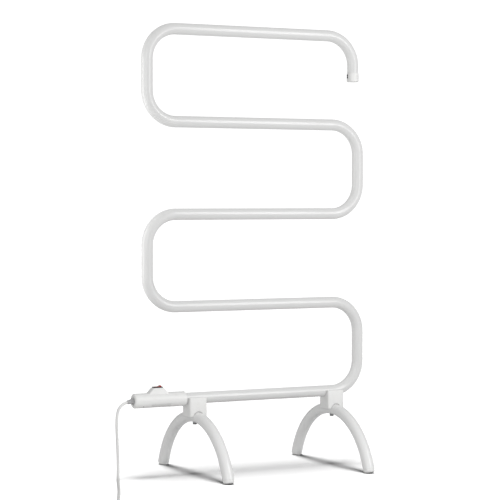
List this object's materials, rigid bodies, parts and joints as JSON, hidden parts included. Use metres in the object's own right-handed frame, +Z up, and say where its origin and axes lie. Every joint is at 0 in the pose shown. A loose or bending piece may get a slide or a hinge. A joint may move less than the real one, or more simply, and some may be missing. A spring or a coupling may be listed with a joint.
{
  "type": "towel warmer rack",
  "caption": "Free-standing electric towel warmer: a heated serpentine tube with five level rails on two bent-tube arches, with a rocker switch and a mains cord.",
  "frame": {"origin": "middle of the rack's own box (without the mains cord) on the floor", "axes": "+Z up, +X along the rails away from the control housing, -Y is the front"},
  "size_m": [0.7867, 0.6449, 1.002],
  "materials": {
    "powder_coat": "white gloss powder coat",
    "white_plastic": "satin moulded",
    "feet": "gloss moulded",
    "zinc": "zinc plated",
    "black_steel": "black oxide",
    "plate": "blank satin plate",
    "switch_black": "fine texture",
    "switch_red": "translucent red",
    "lamp": "neon lamp",
    "brass": "plain",
    "nylon": "natural",
    "silicone": "heat resistant",
    "wire_brown": "insulated wire",
    "wire_blue": "insulated wire",
    "wire_earth": "insulated wire",
    "relief_grey": "satin",
    "cord_white": "PVC sheath",
    "tie": "nylon tie"
  },
  "bodies": {
    "rack": {"rail_tube": "powder_coat", "heating_cable": "silicone", "end_cap": "white_plastic", "end_cap_screws": "black_steel", "rivet_nuts": "zinc", "left_bracket": "white_plastic", "right_bracket": "white_plastic", "left_arch": "powder_coat", "right_arch": "powder_coat", "foot_front_left": "feet", "foot_back_left": "feet", "foot_front_right": "feet", "foot_back_right": "feet", "stand_bolts": "black_steel", "stand_washers": "zinc", "housing_top": "white_plastic", "housing_bottom": "white_plastic", "housing_screws": "black_steel", "rating_plate": "plate", "switch_body": "switch_black", "switch_blades": "brass", "switch_lamp": "lamp", "terminal_block": "nylon", "terminal_screws": "zinc", "thermal_cutout": "zinc", "live_lead": "wire_brown", "neutral_lead": "wire_blue", "earth_lead": "wire_earth", "heater_lead": "silicone", "earth_tag": "brass", "earth_rivet": "zinc", "cord_clamp": "nylon", "clamp_screws": "zinc", "strain_relief": "relief_grey", "sheathed_end": "cord_white", "cord_run": "cord_white", "cord_coil": "cord_white", "coil_tie": "tie", "cord_tail": "cord_white", "plug_body": "cord_white", "plug_blades": "brass"},
    "rocker": {"rocker": "switch_red"}
  },
  "joints": [
    {"name": "rocker_tilt", "type": "hinge", "parent": "rack", "child": "rocker", "pos_m": [-0.22479, 0, 0.1963], "axis": [0, 1, 0], "range_deg": [0, 22]}
  ]
}
